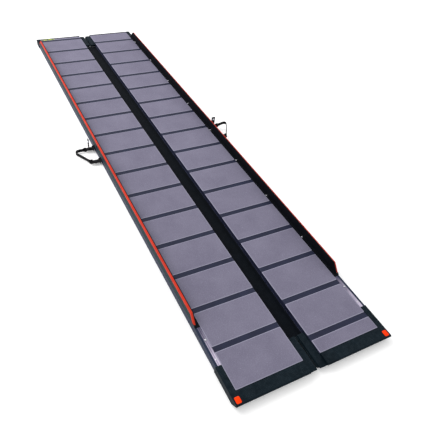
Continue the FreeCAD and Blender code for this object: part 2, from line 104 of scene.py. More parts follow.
def add(tree, kind, inputs=(), **properties):
    """A node with its properties and its inputs, which are (socket, value) pairs."""
    made = tree.nodes.new(kind)
    for name, value in properties.items():
        setattr(made, name, value)
    for socket, value in inputs:
        setting(tree, made.inputs[socket], value)
    return made


def new_group(name, kind, takes, gives):
    """An empty node group with named inputs and outputs, and its two end nodes."""
    group = bpy.data.node_groups.new(name, kind)
    for label, socket, start in takes:
        made = group.interface.new_socket(label, in_out="INPUT", socket_type="NodeSocket" + socket)
        if start is not None:
            made.default_value = start
    for label, socket in gives:
        group.interface.new_socket(label, in_out="OUTPUT", socket_type="NodeSocket" + socket)
    return group, group.nodes.new("NodeGroupInput").outputs, group.nodes.new("NodeGroupOutput").inputs


def maths(tree, operation, first, second=0.0):
    """One step of arithmetic."""
    return add(tree, "ShaderNodeMath", [(0, first), (1, second)], operation=operation).outputs[0]


def blended(tree, share, low, high):
    """One colour fading into another."""
    mix = add(tree, "ShaderNodeMix", data_type="RGBA")
    for socket, value in zip((mix.inputs[0], mix.inputs[6], mix.inputs[7]), (share, low, high)):
        setting(tree, socket, value)
    return mix.outputs[2]


def spread(tree, value, low, high, out_low=0.0, out_high=1.0):
    """A value stretched from one range to another, and clamped there."""
    names = ("Value", "From Min", "From Max", "To Min", "To Max")
    return add(tree, "ShaderNodeMapRange", list(zip(names, (value, low, high, out_low, out_high)))).outputs[0]


print("shader helpers ready")

# %% Lay the floor and light it
floor_mesh = bpy.data.meshes.new("floor")
FLOOR_REACH, FLOOR_DROP = 15.0, 0.5 * MM
floor_mesh.from_pydata([(x * FLOOR_REACH, y * FLOOR_REACH, -FLOOR_DROP)
                        for x, y in ((-1, -1), (1, -1), (1, 1), (-1, 1))], [], [(0, 1, 2, 3)])
floor = bpy.data.objects.new("floor", floor_mesh)
bpy.context.scene.collection.objects.link(floor)
paper = bpy.data.materials.new("floor_paper")
paper.use_nodes = True
PAPER = {"Base Color": (0.93, 0.93, 0.93, 1), "Roughness": 0.9, "Emission Color": (1, 1, 1, 1),
         "Emission Strength": 0.22}
for socket, value in PAPER.items():
    paper.node_tree.nodes["Principled BSDF"].inputs[socket].default_value = value
floor_mesh.materials.append(paper)

world = bpy.data.worlds.new("studio")
world.use_nodes = True
world.node_tree.nodes["Background"].inputs["Color"].default_value = (1, 1, 1, 1)
world.node_tree.nodes["Background"].inputs["Strength"].default_value = 0.85
bpy.context.scene.world = world
bpy.context.scene.view_settings.view_transform = "Standard"

lamp_data = bpy.data.lights.new("window", "AREA")
lamp_data.size, lamp_data.energy = 4.0, 150
lamp = bpy.data.objects.new("window", lamp_data)
lamp.location = (-2.0, 2.5, 3.5)
lamp.rotation_euler = (-lamp.location).to_track_quat("-Z", "Y").to_euler()
bpy.context.scene.collection.objects.link(lamp)
print("floor, sky and one lamp of", lamp_data.energy, "W")

# %% [markdown]
# ## Effects that several finishes share
# Grain, cloudy colour, edge wear with its painted highlight, drawn lines and woven thread each turn up
# on more than one material. Each is a shader node group with named sockets, built once. A group gives
# only a colour, a mask or a height: the shader itself stays in its material, where the finish is easy to read.

# %% Grit: the fine sandy grain of moulded rubber and plastic
SHADER = "ShaderNodeTree"


def make_grit():
    """Grains of two sizes. Height feeds a bump, Speck picks out a few lighter grains."""
    group, takes, gives = new_group("grit", SHADER, [("Vector", "Vector", None), ("Scale", "Float", 900.0)],
                                    [("Height", "Float"), ("Speck", "Float")])
    fine = add(group, "ShaderNodeTexNoise", [("Vector", takes["Vector"]), ("Scale", takes["Scale"]),
                                             ("Detail", 2.0)])
    coarse = add(group, "ShaderNodeTexVoronoi", [("Vector", takes["Vector"]),
                                                 ("Scale", maths(group, "MULTIPLY", takes["Scale"], 0.6))])
    lump = maths(group, "SUBTRACT", 1.0, coarse.outputs["Distance"])
    both = maths(group, "MULTIPLY", maths(group, "ADD", lump, fine.outputs["Fac"]), 0.5)
    group.links.new(both, gives["Height"])
    group.links.new(spread(group, fine.outputs["Fac"], 0.56, 0.66), gives["Speck"])
    return group


GRIT = make_grit()
print("group", GRIT.name)

# %% Mottle: the slow cloudy change of colour in a large sheet
def make_mottle():
    """Fades between two colours in soft clouds."""
    takes = [("Vector", "Vector", None), ("Low", "Color", None), ("High", "Color", None),
             ("Scale", "Float", 6.0)]
    group, takes, gives = new_group("mottle", SHADER, takes, [("Color", "Color"), ("Cloud", "Float")])
    cloud = add(group, "ShaderNodeTexNoise", [("Vector", takes["Vector"]), ("Scale", takes["Scale"]),
                                              ("Detail", 4.0), ("Roughness", 0.6)])
    share = spread(group, cloud.outputs["Fac"], 0.3, 0.7)
    group.links.new(blended(group, share, takes["Low"], takes["High"]), gives["Color"])
    group.links.new(share, gives["Cloud"])
    return group


MOTTLE = make_mottle()
print("group", MOTTLE.name)

# %% Worn edge and painted edge highlight: corners that have been rubbed and that carry a painted highlight
def make_wear_and_edge_highlight():
    """A mask that is bright on sharp corners, broken up by a noise, for edge wear and a painted edge highlight."""
    group, takes, gives = new_group("wear_and_edge_highlight", SHADER, [("Vector", "Vector", None), ("Width", "Float", 0.002)],
                                    [("Mask", "Float")])
    soft = add(group, "ShaderNodeBevel", [("Radius", takes["Width"])], samples=4)
    true = add(group, "ShaderNodeNewGeometry")
    turn = add(group, "ShaderNodeVectorMath", [(0, soft.outputs["Normal"]), (1, true.outputs["Normal"])],
               operation="DOT_PRODUCT").outputs["Value"]
    corner = spread(group, turn, 0.995, 0.85)
    edge_tint = add(group, "ShaderNodeTexNoise", [("Vector", takes["Vector"]), ("Scale", 60.0), ("Detail", 4.0)])
    patchy = spread(group, edge_tint.outputs["Fac"], 0.35, 0.6)
    group.links.new(maths(group, "MULTIPLY", corner, patchy), gives["Mask"])
    return group


WEAR_AND_EDGE_HIGHLIGHT = make_wear_and_edge_highlight()
print("group", WEAR_AND_EDGE_HIGHLIGHT.name)

# %% Drawn lines: what a die leaves along an extrusion
def make_drawn_lines():
    """Long thin streaks along the ramp, for metal and rubber pressed through a die."""
    takes = [("Vector", "Vector", None), ("Fineness", "Float", 400.0)]
    group, takes, gives = new_group("drawn_lines", SHADER, takes, [("Height", "Float")])
    fine = takes["Fineness"]
    stretch = add(group, "ShaderNodeCombineXYZ", [("X", fine), ("Y", 2.0), ("Z", fine)])
    stretched = add(group, "ShaderNodeVectorMath", [(0, takes["Vector"]), (1, stretch.outputs[0])],
                    operation="MULTIPLY").outputs[0]
    streak = add(group, "ShaderNodeTexNoise", [("Vector", stretched), ("Scale", 1.0), ("Detail", 3.0)])
    group.links.new(streak.outputs["Fac"], gives["Height"])
    return group


DRAWN_LINES = make_drawn_lines()
print("group", DRAWN_LINES.name)

# %% Weave: the ribs of flat webbing, laid along its own length
def make_weave():
    """Over-and-under threads on the strap's own UV map, which is in metres."""
    group, takes, gives = new_group("weave", SHADER, [("Vector", "Vector", None), ("Thread", "Float", 0.0012)],
                                    [("Height", "Float"), ("Shade", "Float")])
    parts = add(group, "ShaderNodeSeparateXYZ", [(0, takes["Vector"])])
    per = maths(group, "DIVIDE", math.pi, takes["Thread"])
    warp = maths(group, "SINE", maths(group, "MULTIPLY", parts.outputs["X"], per))
    weft = maths(group, "SINE", maths(group, "MULTIPLY", parts.outputs["Y"], per))
    cross = maths(group, "MULTIPLY", warp, weft)
    ridge = maths(group, "ADD", cross, maths(group, "MULTIPLY", maths(group, "ABSOLUTE", weft), 0.7))
    group.links.new(spread(group, ridge, -1.0, 1.7), gives["Height"])
    group.links.new(spread(group, cross, -0.4, 0.9), gives["Shade"])
    return group


WEAVE = make_weave()
print("group", WEAVE.name)

# %% [markdown]
# ## Finishes
# A finish is a small function named for what it covers. Values that never change, such as the
# metal's amount, are set straight on the shader. What varies over the surface comes from the shared
# groups, read on Object coordinates, so that the pattern is at its real size and stays put.

# %% Start a finish
def finish(name, **constant):
    """A material, its tree, its shader with plain values set, and its Object coordinates."""
    material = bpy.data.materials.new(name)
    material.use_nodes = True
    tree = material.node_tree
    shader = tree.nodes["Principled BSDF"]
    for socket, value in constant.items():
        shader.inputs[socket.replace("_", " ")].default_value = value
    where = add(tree, "ShaderNodeTexCoord").outputs["Object"]
    return material, tree, shader, where


def colour(red, green, blue):
    """A linear colour with full alpha."""
    return (red, green, blue, 1.0)


def use(tree, group, **inputs):
    """Places a shared group in a material with its own values."""
    return add(tree, "ShaderNodeGroup", list(inputs.items()), node_tree=group)


def relief(tree, shader, height, depth, under=None):
    """Turns a height into a bump of a depth in metres, on top of another bump if there is one."""
    pairs = [("Height", height), ("Distance", depth)] + ([("Normal", under)] if under else [])
    bump = add(tree, "ShaderNodeBump", pairs)
    setting(tree, shader.inputs["Normal"], bump.outputs[0])
    return bump.outputs[0]


def tint(tree, shader, mask, amount, under, over):
    """Base colour: one colour over another, where a mask says, and only to an amount."""
    share = maths(tree, "MULTIPLY", mask, amount)
    setting(tree, shader.inputs["Base Color"], blended(tree, share, under, over))


def roughen(tree, shader, height, low, high, start, end):
    """Roughness that goes from start to end as a height goes from low to high."""
    setting(tree, shader.inputs["Roughness"], spread(tree, height, low, high, start, end))


FINISHES = {}
print("finish helpers ready")

# %% Grip pads: lilac-grey rubber with a rolled rim that carries a painted highlight
# The third colour tints the light grit flecks and is also the painted highlight on the pad rims.
PAD_LOW, PAD_HIGH, PAD_FLECK_AND_RIM_HIGHLIGHT = colour(0.150, 0.139, 0.202), colour(0.185, 0.173, 0.243), colour(0.33, 0.32, 0.42)


def grip_finish():
    """Gritty rubber with a painted highlight on its rim. The rim mask is an attribute that the pad's own mesh
    carries.
    """
    material, tree, shader, where = finish("grip", IOR=1.4)
    cloud = use(tree, MOTTLE, Vector=where, Low=PAD_LOW, High=PAD_HIGH, Scale=9.0)
    grit = use(tree, GRIT, Vector=where, Scale=520.0)
    fleck = blended(tree, maths(tree, "MULTIPLY", grit.outputs["Speck"], 0.35), cloud.outputs["Color"], PAD_FLECK_AND_RIM_HIGHLIGHT)
    rim = add(tree, "ShaderNodeAttribute", attribute_name="rim").outputs["Fac"]
    # Painted highlight: the rim faces are tinted towards the light colour.
    tint(tree, shader, rim, 0.8, fleck, PAD_FLECK_AND_RIM_HIGHLIGHT)
    roughen(tree, shader, grit.outputs["Height"], 0.2, 0.8, 0.95, 0.72)
    relief(tree, shader, grit.outputs["Height"], 0.5 * MM)
    return material


FINISHES["grip"] = grip_finish()
print("finish grip ready")

# %% Deck skin: navy sheet with a satin lacquer
def deck_finish():
    """Painted sheet with faint orange peel, and a few corners lightened by edge wear and a painted edge highlight.
    """
    material, tree, shader, where = finish("deck_skin", IOR=1.5, Specular_IOR_Level=0.2)
    cloud = use(tree, MOTTLE, Vector=where, Low=colour(0.012, 0.014, 0.034), High=colour(0.019, 0.023, 0.052),
                Scale=14.0)
    wear_and_highlight = use(tree, WEAR_AND_EDGE_HIGHLIGHT, Vector=where, Width=1.5 * MM)
    # Corners tinted lighter: edge wear and a painted edge highlight.
    tint(tree, shader, wear_and_highlight.outputs["Mask"], 0.5, cloud.outputs["Color"], colour(0.12, 0.13, 0.18))
    peel = use(tree, GRIT, Vector=where, Scale=260.0)
    roughen(tree, shader, cloud.outputs["Cloud"], 0.0, 1.0, 0.45, 0.6)
    relief(tree, shader, peel.outputs["Height"], 0.15 * MM)
    return material


FINISHES["deck_skin"] = deck_finish()
print("finish deck_skin ready")

# %% Foam core: cut closed-cell foam, seen only at the panel's ends
def foam_finish():
    """Pale foam with small open cells."""
    material, tree, shader, where = finish("foam")
    cells = use(tree, GRIT, Vector=where, Scale=700.0)
    cloud = use(tree, MOTTLE, Vector=where, Low=colour(0.62, 0.59, 0.5), High=colour(0.78, 0.75, 0.66),
                Scale=20.0)
    setting(tree, shader.inputs["Base Color"], blended(tree, cells.outputs["Speck"], cloud.outputs["Color"],
                                                       colour(0.5, 0.47, 0.4)))
    roughen(tree, shader, cells.outputs["Height"], 0.0, 1.0, 0.95, 0.8)
    relief(tree, shader, cells.outputs["Height"], 0.6 * MM)
    return material


FINISHES["foam"] = foam_finish()
print("finish foam ready")

# %% Metal sections: dark anodised channels and the screws
def section_finish(name, low, high, bare_and_highlit, metal, shine, rough, fineness):
    """An extruded section: streaks along it, cloudy colour, and metal showing on its corners, which also carries a
    painted highlight.
    """
    material, tree, shader, where = finish(name, Metallic=metal, Specular_IOR_Level=shine)
    streak = use(tree, DRAWN_LINES, Vector=where, Fineness=fineness)
    cloud = use(tree, MOTTLE, Vector=where, Low=low, High=high, Scale=5.0)
    wear_and_highlight = use(tree, WEAR_AND_EDGE_HIGHLIGHT, Vector=where, Width=0.8 * MM)
    line = spread(tree, streak.outputs["Height"], 0.4, 0.6, 0.0, 0.5)
    lined = blended(tree, line, cloud.outputs["Color"], low)
    # Corners tinted lighter: edge wear and a painted edge highlight.
    tint(tree, shader, wear_and_highlight.outputs["Mask"], 0.6, lined, bare_and_highlit)
    roughen(tree, shader, streak.outputs["Height"], 0.3, 0.7, rough - 0.08, rough + 0.12)
    relief(tree, shader, streak.outputs["Height"], 0.12 * MM)
    return material


FINISHES["dark_aluminium"] = section_finish("dark_aluminium", colour(0.016, 0.024, 0.050),
                                            colour(0.028, 0.038, 0.074), colour(0.12, 0.14, 0.19), 0.2, 0.15, 0.5,
                                            420.0)
FINISHES["steel"] = section_finish("steel", colour(0.55, 0.55, 0.6), colour(0.72, 0.72, 0.77),
                                   colour(0.9, 0.9, 0.92), 0.9, 0.5, 0.25, 900.0)
print("finishes", [name for name in FINISHES])

# %% Edge rail: a painted reflection, light lilac at the toe, that fades to navy under the curb
def rail_finish():
    """Anodised strip whose colour fades from a painted light lilac reflection at the toe to navy under the curb."""
    material, tree, shader, where = finish("bright_rail", Metallic=0.6)
    streak = use(tree, DRAWN_LINES, Vector=where, Fineness=600.0)
    along = add(tree, "ShaderNodeSeparateXYZ", [(0, where)]).outputs["Y"]
    ragged = add(tree, "ShaderNodeTexNoise", [("Vector", where), ("Scale", 26.0), ("Detail", 3.0)])
    drift = maths(tree, "ADD", along, spread(tree, ragged.outputs["Fac"], 0.3, 0.7, -30 * MM, 30 * MM))
    # Painted reflection: light lilac near the toe, fading with a ragged edge to navy towards the curb.
    reflection_fade = spread(tree, drift, rail_low.y + 10 * MM, curb_low.y + 10 * MM)
    painted_reflection = blended(tree, spread(tree, streak.outputs["Height"], 0.4, 0.6), colour(0.42, 0.37, 0.50),
                   colour(0.66, 0.60, 0.74))
    setting(tree, shader.inputs["Base Color"], blended(tree, reflection_fade, painted_reflection, colour(0.030, 0.030, 0.075)))
    roughen(tree, shader, streak.outputs["Height"], 0.3, 0.7, 0.22, 0.42)
    relief(tree, shader, streak.outputs["Height"], 0.12 * MM)
    return material


FINISHES["bright_rail"] = rail_finish()
print("rail fades over", round((curb_low.y - rail_low.y) / MM), "mm")

# %% Curb board: black inside, ribbed teal laminate on the outer face
OUTER_FACE = curb_high.x - 0.4 * MM


def outward(tree, where):
    """1 on the curb's outer face and 0 elsewhere."""
    parts = add(tree, "ShaderNodeSeparateXYZ", [(0, where)])
    return spread(tree, maths(tree, "ABSOLUTE", parts.outputs["X"]), OUTER_FACE - 0.2 * MM, OUTER_FACE), parts


def curb_finish():
    """A composite board whose outer face carries fine slanted ribs."""
    material, tree, shader, where = finish("curb_board", IOR=1.45, Specular_IOR_Level=0.1)
    outside, parts = outward(tree, where)
    slant = maths(tree, "ADD", parts.outputs["Y"], maths(tree, "MULTIPLY", parts.outputs["Z"], 0.6))
    rib = maths(tree, "SINE", maths(tree, "MULTIPLY", slant, 2 * math.pi / (6 * MM)))
    teal = blended(tree, spread(tree, rib, -0.6, 0.8), colour(0.010, 0.024, 0.028), colour(0.020, 0.044, 0.050))
    black = use(tree, MOTTLE, Vector=where, Low=colour(0.0020, 0.0028, 0.0046),
                High=colour(0.0036, 0.0046, 0.0072), Scale=22.0).outputs["Color"]
    wear_and_highlight = use(tree, WEAR_AND_EDGE_HIGHLIGHT, Vector=where, Width=1.2 * MM)
    faces = blended(tree, outside, black, teal)
    # Corners tinted lighter: edge wear and a painted edge highlight.
    tint(tree, shader, wear_and_highlight.outputs["Mask"], 0.35, faces, colour(0.06, 0.07, 0.08))
    grain = use(tree, GRIT, Vector=where, Scale=480.0)
    roughen(tree, shader, grain.outputs["Height"], 0.2, 0.8, 0.5, 0.72)
    under = relief(tree, shader, grain.outputs["Height"], 0.12 * MM)
    relief(tree, shader, maths(tree, "MULTIPLY", rib, outside), 0.15 * MM, under)
    return material


FINISHES["curb_board"] = curb_finish()
print("finish curb_board ready")

# %% Moulded pieces: trim, shoes, brackets, markers and the hinge band
def moulded_finish(name, low, high, corner_wear_and_highlight, rough, grain_scale, grain_depth, edge_tint=0.4, streaks=False):
    """Moulded or extruded plastic and rubber with a fine grain and slightly paler corners, from edge wear and a
    painted edge highlight.
    """
    material, tree, shader, where = finish(name, IOR=1.46, Specular_IOR_Level=0.08)
    cloud = use(tree, MOTTLE, Vector=where, Low=low, High=high, Scale=18.0)
    wear_and_highlight = use(tree, WEAR_AND_EDGE_HIGHLIGHT, Vector=where, Width=1.6 * MM)
    # Corners tinted lighter: edge wear and a painted edge highlight.
    tint(tree, shader, wear_and_highlight.outputs["Mask"], edge_tint, cloud.outputs["Color"], corner_wear_and_highlight)
    grain = use(tree, GRIT, Vector=where, Scale=grain_scale)
    roughen(tree, shader, grain.outputs["Height"], 0.2, 0.8, rough + 0.1, rough - 0.08)
    under = relief(tree, shader, grain.outputs["Height"], grain_depth)
    if streaks:
        lines = use(tree, DRAWN_LINES, Vector=where, Fineness=300.0)
        relief(tree, shader, lines.outputs["Height"], 0.25 * MM, under)
    return material


# The third colour in each row is the corner colour, for edge wear and a painted edge highlight.
MOULDED = {
    "trim": ((0.46, 0.026, 0.012), (0.60, 0.040, 0.018), (0.70, 0.10, 0.05), 0.5, 500.0, 0.06 * MM, 0.4, True),
    "shoe_plastic": ((0.0028, 0.0072, 0.0112), (0.0052, 0.0122, 0.0180), (0.06, 0.08, 0.10), 0.5, 620.0, 0.16 * MM),
    "marker": ((0.95, 0.030, 0.0), (1.0, 0.060, 0.004), (1.0, 0.25, 0.10), 0.35, 400.0, 0.08 * MM),
    "bracket_plastic": ((0.006, 0.006, 0.008), (0.012, 0.012, 0.015), (0.06, 0.06, 0.07), 0.55, 700.0, 0.12 * MM),
    "rubber_band": ((0.0006, 0.0016, 0.0034), (0.0012, 0.0028, 0.0056), (0.02, 0.025, 0.03), 0.66, 450.0, 0.1 * MM,
                    0.3, True),
}
for name, (low, high, corner_wear_and_highlight, *grain) in MOULDED.items():
    FINISHES[name] = moulded_finish(name, colour(*low), colour(*high), colour(*corner_wear_and_highlight), *grain)
print("moulded finishes ready:", len(FINISHES))

# %% Webbing and thread: woven black nylon, with a sheen on its ribs
def webbing_finish():
    """Woven strap on its own UV map."""
    material, tree, shader, where = finish("webbing", Sheen_Weight=0.05, Sheen_Roughness=0.5,
                                           Specular_IOR_Level=0.1)
    laid = add(tree, "ShaderNodeUVMap", uv_map="strap").outputs[0]
    weave = use(tree, WEAVE, Vector=laid, Thread=1.3 * MM)
    fuzz = use(tree, GRIT, Vector=where, Scale=1500.0)
    base = blended(tree, weave.outputs["Shade"], colour(0.0028, 0.0028, 0.0036), colour(0.0085, 0.0085, 0.0105))
    tint(tree, shader, fuzz.outputs["Speck"], 0.25, base, colour(0.03, 0.03, 0.035))
    roughen(tree, shader, weave.outputs["Height"], 0.0, 1.0, 0.9, 0.62)
    relief(tree, shader, weave.outputs["Height"], 0.35 * MM)
    return material


FINISHES["webbing"] = webbing_finish()
THREAD = moulded_finish("sewing_thread", colour(0.012, 0.012, 0.015), colour(0.022, 0.022, 0.027),
                        colour(0.05, 0.05, 0.06), 0.6, 2500.0, 0.05 * MM)
print("finishes", FINISHES["webbing"].name, THREAD.name)

# %% Snap: bright plated metal
def snap_finish():
    """Cloudy plating with small scratches."""
    material, tree, shader, where = finish("snap", Metallic=1.0)
    scratch = add(tree, "ShaderNodeTexNoise", [("Vector", where), ("Scale", 900.0), ("Detail", 6.0)])
    cloud = use(tree, MOTTLE, Vector=where, Low=colour(0.58, 0.62, 0.70), High=colour(0.78, 0.81, 0.88),
                Scale=150.0)
    setting(tree, shader.inputs["Base Color"], cloud.outputs["Color"])
    roughen(tree, shader, scratch.outputs["Fac"], 0.3, 0.7, 0.12, 0.34)
    relief(tree, shader, scratch.outputs["Fac"], 0.02 * MM)
    return material


FINISHES["snap"] = snap_finish()
print("finish snap ready")

# %% Label: a yellow-green sticker with two plain bands
label_low, label_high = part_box("blank_label")


def label_finish():
    """Coated paper. The bands are plain colour across the sticker."""
    material, tree, shader, where = finish("label", Coat_Weight=0.3)
    across = add(tree, "ShaderNodeSeparateXYZ", [(0, where)]).outputs["X"]
    share = spread(tree, across, label_low.x, label_high.x)
    band = maths(tree, "LESS_THAN", maths(tree, "FRACT", maths(tree, "MULTIPLY", share, 2.5)), 0.35)
    paper_tone = use(tree, MOTTLE, Vector=where, Low=colour(0.36, 0.46, 0.02), High=colour(0.46, 0.56, 0.04),
                     Scale=60.0).outputs["Color"]
    setting(tree, shader.inputs["Base Color"], blended(tree, band, paper_tone, colour(0.10, 0.15, 0.03)))
    fibre = use(tree, GRIT, Vector=where, Scale=1800.0)
    roughen(tree, shader, fibre.outputs["Height"], 0.2, 0.8, 0.4, 0.55)
    relief(tree, shader, fibre.outputs["Height"], 0.03 * MM)
    return material


FINISHES["label"] = label_finish()
print("finish label ready")

# %% Give every CAD node its finish
for cad_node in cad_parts.values():
    for place in cad_node.material_slots:
        place.material = FINISHES[place.material.name.split(".")[0]]
print("finished nodes:", len(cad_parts), "with", len(FINISHES), "finishes")

# %% [markdown]
# ## Rows made with Geometry Nodes
# Pads, ribs and rivets are one shape at a fixed step, so each is a small node tree with named
# inputs. The tree ends by realising its instances and setting the material. Its result is then
# copied to a plain mesh and the modifier goes, so what is left is ordinary geometry.

# %% Make the Geometry Nodes helpers
GEOMETRY = "GeometryNodeTree"


def painted(tree, takes, gives, copies):
    """Ends a tree: makes its instances real and gives them the Finish."""
    real = add(tree, "GeometryNodeRealizeInstances", [(0, copies.outputs[0])])
    coat = add(tree, "GeometryNodeSetMaterial", [("Geometry", real.outputs[0]), ("Material", takes["Finish"])])
    tree.links.new(coat.outputs[0], gives[0])


def row_of(tree, takes, gives, geometry):
    """Repeats a shape from Start by Step, Count times, and gives it the Finish."""
    line = add(tree, "GeometryNodeMeshLine", [("Count", takes["Count"]), ("Start Location", takes["Start"]),
                                              ("Offset", takes["Step"])])
    copies = add(tree, "GeometryNodeInstanceOnPoints", [("Points", line.outputs[0]), ("Instance", geometry)])
    painted(tree, takes, gives, copies)


def scaled(tree, geometry, x, y, z):
    """A shape stretched by a size in each direction."""
    size = add(tree, "ShaderNodeCombineXYZ", [("X", x), ("Y", y), ("Z", z)])
    return add(tree, "GeometryNodeTransform", [("Geometry", geometry), ("Scale", size.outputs[0])]).outputs[0]


ROW_TAKES = [("Count", "Int", 1), ("Start", "Vector", None), ("Step", "Vector", None),
             ("Finish", "Material", None)]


def grown(tree, base=None, **inputs):
    """Runs a tree with its inputs set by identifier, and gives the result as a plain mesh."""
    seed = bpy.data.objects.new("seed", base or bpy.data.meshes.new("seed"))
    bpy.context.scene.collection.objects.link(seed)
    modifier = seed.modifiers.new("row", "NODES")
    modifier.node_group = tree
    sockets = {item.name: item.identifier for item in tree.interface.items_tree if item.in_out == "INPUT"}
    for name, value in inputs.items():
        modifier[sockets[name.replace("_", " ")]] = value
    seed.update_tag()
    evaluated = seed.evaluated_get(bpy.context.evaluated_depsgraph_get())
    mesh = bpy.data.meshes.new_from_object(evaluated)
    bpy.data.objects.remove(seed)
    return mesh


def across(mesh, side):
    """The same mesh on the left panel, turned right side out again."""
    if side > 0:
        return mesh
    mesh.transform(Matrix.Diagonal((-1, 1, 1, 1)))
    mesh.flip_normals()
    return mesh


def piece(name, meshes, body, replaces=(), smooth=True):
    """One object from several meshes, riding on a body."""
    whole = bmesh.new()
    finishes = []
    for mesh in meshes:
        finishes += [finish for finish in mesh.materials if finish not in finishes]
        first = len(whole.faces)
        whole.from_mesh(mesh)
        whole.faces.ensure_lookup_table()
        for face in whole.faces[first:]:
            face.material_index = finishes.index(mesh.materials[face.material_index])
            face.smooth = smooth
    made = bpy.data.meshes.new(name)
    whole.to_mesh(made)
    whole.free()
    for finish in finishes:
        made.materials.append(finish)
    made_object = bpy.data.objects.new(name, made)
    bpy.context.scene.collection.objects.link(made_object)
    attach(made_object, body)
    if replaces:
        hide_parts(*replaces)
    return made_object


print("row helpers ready")

# %% [markdown]
# ## Grip pads
# Each pad is a moulded rubber tile with round corners and a rolled rim. The rim could be a Bevel
# modifier, but the row needs its rim marked so that the finish can paint a highlight there. So the tree
# extrudes twice, draws the second step inwards, and stores a mask on the faces that it made.

# %% Build the pad tree
def make_pad_tree():
    """A row of rounded tiles: Wide by Long by Thick, with a rolled Rim."""
    takes = [("Wide", "Float", 0.1), ("Long", "Float", 0.1), ("Thick", "Float", 0.0015),
             ("Corner", "Float", 0.004), ("Rim", "Float", 0.002)] + ROW_TAKES
    tree, takes, gives = new_group("pad_row", GEOMETRY, takes, [("Geometry", "Geometry")])
    sheet = add(tree, "GeometryNodeCurvePrimitiveQuadrilateral", [("Width", takes["Wide"]),
                                                                  ("Height", takes["Long"])])
    soft = add(tree, "GeometryNodeFilletCurve", [("Curve", sheet.outputs[0]), ("Count", 4),
                                                 ("Radius", takes["Corner"])], mode="POLY")
    flat = add(tree, "GeometryNodeFillCurve", [(0, soft.outputs[0])], mode="NGONS").outputs[0]
    under = add(tree, "GeometryNodeFlipFaces", [(0, flat)]).outputs[0]
    up = add(tree, "ShaderNodeCombineXYZ", [("Z", 1.0)]).outputs[0]
    half = maths(tree, "MULTIPLY", takes["Thick"], 0.5)
    rise = [("Offset", up), ("Individual", False), ("Offset Scale", half)]
    sides = add(tree, "GeometryNodeExtrudeMesh", [("Mesh", flat)] + rise)
    lift = add(tree, "GeometryNodeExtrudeMesh", [("Mesh", sides.outputs["Mesh"]),
                                                 ("Selection", sides.outputs["Top"])] + rise)
    drawn_in = [maths(tree, "SUBTRACT", 1.0, maths(tree, "DIVIDE", maths(tree, "MULTIPLY", takes["Rim"], 2.0),
                                                   takes[size])) for size in ("Wide", "Long")]
    factor = add(tree, "ShaderNodeCombineXYZ", [("X", drawn_in[0]), ("Y", drawn_in[1]), ("Z", 1.0)]).outputs[0]
    place = add(tree, "GeometryNodeInputPosition").outputs[0]
    inner = add(tree, "ShaderNodeVectorMath", [(0, place), (1, factor)], operation="MULTIPLY").outputs[0]
    rolled = add(tree, "GeometryNodeSetPosition", [("Geometry", lift.outputs["Mesh"]), ("Position", inner),
                                                   ("Selection", lift.outputs["Top"])]).outputs[0]
    mask = maths(tree, "SUBTRACT", 1.0, lift.outputs["Top"])
    marked = add(tree, "GeometryNodeStoreNamedAttribute", [("Geometry", rolled), ("Name", "rim"),
                                                           ("Value", mask)], data_type="FLOAT",
                 domain="FACE").outputs[0]
    whole = add(tree, "GeometryNodeJoinGeometry")
    for part in (marked, under):
        tree.links.new(part, whole.inputs[0])
    closed = add(tree, "GeometryNodeMergeByDistance", [("Geometry", whole.outputs[0]), ("Distance", 0.01 * MM)])
    row_of(tree, takes, gives, closed.outputs[0])
    return tree


PAD_TREE = make_pad_tree()
print("pad tree has", len(PAD_TREE.nodes), "nodes")

# %% Count the pads in each row and lay them
PAD_LONG, PAD_PITCH = 0.150, 0.173
PAD_THICK = pads_high.z - pads_low.z


def pads_in(node, count, side):
    """The pads that fill a node's box, from its near end."""
    low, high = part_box(node)
    long = PAD_LONG if count > 1 else high.y - low.y
    mesh = grown(PAD_TREE, Wide=high.x - low.x, Long=long, Thick=PAD_THICK, Corner=3 * MM, Rim=2.6 * MM,
                 Count=count, Start=(centre(node).x, low.y + long / 2, low.z), Step=(0.0, PAD_PITCH, 0.0),
                 Finish=FINISHES["grip"])
    return across(mesh, side)


for name, side in SIDES.items():
    for part in ("grip_pads", "near_grip_pad", "far_grip_pad"):
        node = f"{name}_{part}"
        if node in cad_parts:
            low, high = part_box(node)
            count = round((high.y - low.y + PAD_PITCH - PAD_LONG) / PAD_PITCH) if part == "grip_pads" else 1
            made = piece(f"{name}_rolled_{part}", [pads_in(node, count, side)], f"{name}_panel", [node],
                         smooth=False)
            print(made.name, "pads", count, "faces", len(made.data.polygons))

# %% [markdown]
# ## Corner markers and the sticker
# The orange corner markers and the sticker are the same kind of thing as a pad, a thin tile with
# round corners, so the pad tree makes them too, with other sizes.

# %% Set the markers and the sticker
def tile_for(node, corner, rim, finish, side):
    """One rounded tile that fills a node's box."""
    low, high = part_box(node)
    middle = centre(node)
    middle.z = low.z
    mesh = grown(PAD_TREE, Wide=high.x - low.x, Long=high.y - low.y, Thick=high.z - low.z, Corner=corner,
                 Rim=rim, Count=1, Start=middle, Step=(0.0, 0.0, 0.0), Finish=finish)
    return across(mesh, side)


for name, side in SIDES.items():
    node = f"{name}_corner_marker"
    tile = tile_for(node, 4.5 * MM, 1.2 * MM, FINISHES["marker"], side)
    piece(f"{name}_soft_marker", [tile], f"{name}_panel", [node])
sticker = piece("sticker", [tile_for("blank_label", 1.2 * MM, 0.2 * MM, FINISHES["label"], -1)], "left_panel",
                ["blank_label"], smooth=False)
print("markers and", sticker.name, "set")

# %% [markdown]
# ## Ribs
# The end shoes carry fine ribs across the walking direction, so that paws and floors grip, and the
# hinge band has ribs along it. A rib is a rod with an eight-sided section, flattened and sunk to its
# middle, which is cheap enough to repeat many times and still catches a line of light.

